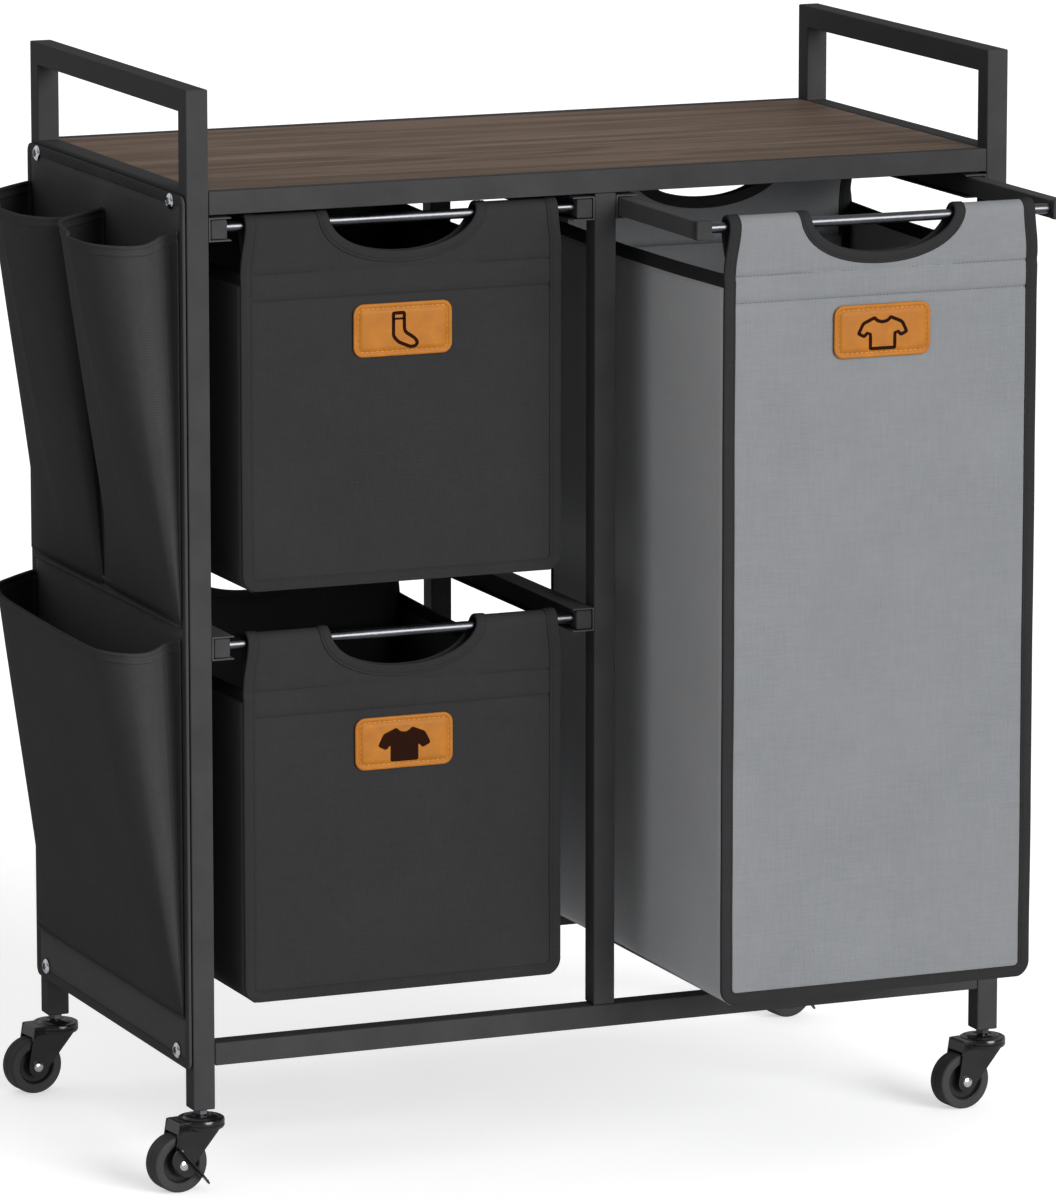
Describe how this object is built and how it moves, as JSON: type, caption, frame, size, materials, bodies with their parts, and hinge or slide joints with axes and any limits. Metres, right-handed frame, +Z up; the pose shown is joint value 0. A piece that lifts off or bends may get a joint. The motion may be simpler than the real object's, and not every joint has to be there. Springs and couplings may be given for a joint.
{
  "type": "laundry sorter on wheels",
  "caption": "Rolling steel laundry sorter with a wooden shelf, slide-out fabric bags, a tall bag beside two stacked ones, and a pocket organiser on one side.",
  "frame": {"origin": "on the floor, at the middle of the footprint of the whole object, pockets and the pulled-out bag included", "axes": "+Z up, +Y to the back, +X to the right seen from the front; the bags slide out towards -Y"},
  "size_m": [0.861, 0.5736, 0.956],
  "materials": {
    "frame_steel": "satin black powder coat",
    "rail_steel": "satin black",
    "bright_steel": "polished zinc or chrome",
    "shelf_wood": "matt walnut wood-effect foil",
    "black_fabric": "plain-woven polyester",
    "grey_fabric": "plain-woven polyester",
    "label_leather": "smooth tan imitation leather",
    "caster_plastic": "glossy black",
    "wheel_rubber": "matt dark grey"
  },
  "bodies": {
    "frame": {"left_end_frame": "frame_steel", "right_end_frame": "frame_steel", "front_top_rail": "frame_steel", "back_top_rail": "frame_steel", "front_bottom_rail": "frame_steel", "back_bottom_rail": "frame_steel", "front_middle_post": "frame_steel", "back_middle_post": "frame_steel", "shelf_board": "shelf_wood", "organiser_panel": "black_fabric", "upper_back_pocket": "black_fabric", "upper_front_pocket": "black_fabric", "lower_pocket": "black_fabric", "organiser_screw_1": "bright_steel", "organiser_screw_2": "bright_steel", "organiser_screw_3": "bright_steel", "organiser_screw_4": "bright_steel", "upper_left_channel": "rail_steel", "upper_right_channel": "rail_steel", "lower_left_channel": "rail_steel", "lower_right_channel": "rail_steel", "tall_left_channel": "rail_steel", "tall_right_channel": "rail_steel", "front_left_caster_stem": "bright_steel", "front_right_caster_stem": "bright_steel", "back_left_caster_stem": "bright_steel", "back_right_caster_stem": "bright_steel"},
    "upper_carriage": {"upper_left_bar": "rail_steel", "upper_right_bar": "rail_steel", "upper_front_rod": "bright_steel", "upper_back_rod": "bright_steel", "upper_bag": "black_fabric", "upper_label": "label_leather"},
    "lower_carriage": {"lower_left_bar": "rail_steel", "lower_right_bar": "rail_steel", "lower_front_rod": "bright_steel", "lower_back_rod": "bright_steel", "lower_bag": "black_fabric", "lower_label": "label_leather"},
    "tall_carriage": {"tall_left_bar": "rail_steel", "tall_right_bar": "rail_steel", "tall_front_rod": "bright_steel", "tall_back_rod": "bright_steel", "tall_bag": "grey_fabric", "tall_label": "label_leather"},
    "front_left_swivel": {"front_left_caster_fork": "caster_plastic", "front_left_caster_axle": "bright_steel"},
    "front_left_wheel": {"front_left_caster_wheel": "wheel_rubber"},
    "front_left_brake": {"front_left_brake_lever": "rail_steel"},
    "front_right_swivel": {"front_right_caster_fork": "caster_plastic", "front_right_caster_axle": "bright_steel"},
    "front_right_wheel": {"front_right_caster_wheel": "wheel_rubber"},
    "back_left_swivel": {"back_left_caster_fork": "caster_plastic", "back_left_caster_axle": "bright_steel"},
    "back_left_wheel": {"back_left_caster_wheel": "wheel_rubber"},
    "back_right_swivel": {"back_right_caster_fork": "caster_plastic", "back_right_caster_axle": "bright_steel"},
    "back_right_wheel": {"back_right_caster_wheel": "wheel_rubber"},
    "back_right_brake": {"back_right_brake_lever": "rail_steel"}
  },
  "joints": [
    {"name": "upper_bag_slide", "type": "slide", "parent": "frame", "child": "upper_carriage", "axis": [0, -1, 0], "range_m": [0, 0.26]},
    {"name": "lower_bag_slide", "type": "slide", "parent": "frame", "child": "lower_carriage", "axis": [0, -1, 0], "range_m": [0, 0.26]},
    {"name": "tall_bag_slide", "type": "slide", "parent": "frame", "child": "tall_carriage", "axis": [0, -1, 0], "range_m": [-0.166, 0.094]},
    {"name": "front_left_swivel_turn", "type": "hinge", "parent": "frame", "child": "front_left_swivel", "pos_m": [-0.3408, -0.1109, 0.06], "axis": [0, 0, 1], "continuous": true},
    {"name": "front_left_wheel_spin", "type": "hinge", "parent": "front_left_swivel", "child": "front_left_wheel", "pos_m": [-0.36462, -0.11382, 0.0254], "axis": [0.1219, -0.9925, 0], "continuous": true},
    {"name": "front_left_brake_press", "type": "hinge", "parent": "front_left_swivel", "child": "front_left_brake", "pos_m": [-0.36462, -0.11382, 0.0254], "axis": [0.1219, -0.9925, 0], "range_deg": [0, 22]},
    {"name": "front_right_swivel_turn", "type": "hinge", "parent": "frame", "child": "front_right_swivel", "pos_m": [0.4102, -0.1109, 0.06], "axis": [0, 0, 1], "continuous": true},
    {"name": "front_right_wheel_spin", "type": "hinge", "parent": "front_right_swivel", "child": "front_right_wheel", "pos_m": [0.38638, -0.11382, 0.0254], "axis": [0.1219, -0.9925, 0], "continuous": true},
    {"name": "back_left_swivel_turn", "type": "hinge", "parent": "frame", "child": "back_left_swivel", "pos_m": [-0.3408, 0.2661, 0.06], "axis": [0, 0, 1], "continuous": true},
    {"name": "back_left_wheel_spin", "type": "hinge", "parent": "back_left_swivel", "child": "back_left_wheel", "pos_m": [-0.36462, 0.26318, 0.0254], "axis": [0.1219, -0.9925, 0], "continuous": true},
    {"name": "back_right_swivel_turn", "type": "hinge", "parent": "frame", "child": "back_right_swivel", "pos_m": [0.4102, 0.2661, 0.06], "axis": [0, 0, 1], "continuous": true},
    {"name": "back_right_wheel_spin", "type": "hinge", "parent": "back_right_swivel", "child": "back_right_wheel", "pos_m": [0.38638, 0.26318, 0.0254], "axis": [0.1219, -0.9925, 0], "continuous": true},
    {"name": "back_right_brake_press", "type": "hinge", "parent": "back_right_swivel", "child": "back_right_brake", "pos_m": [0.38638, 0.26318, 0.0254], "axis": [0.1219, -0.9925, 0], "range_deg": [0, 22]}
  ]
}
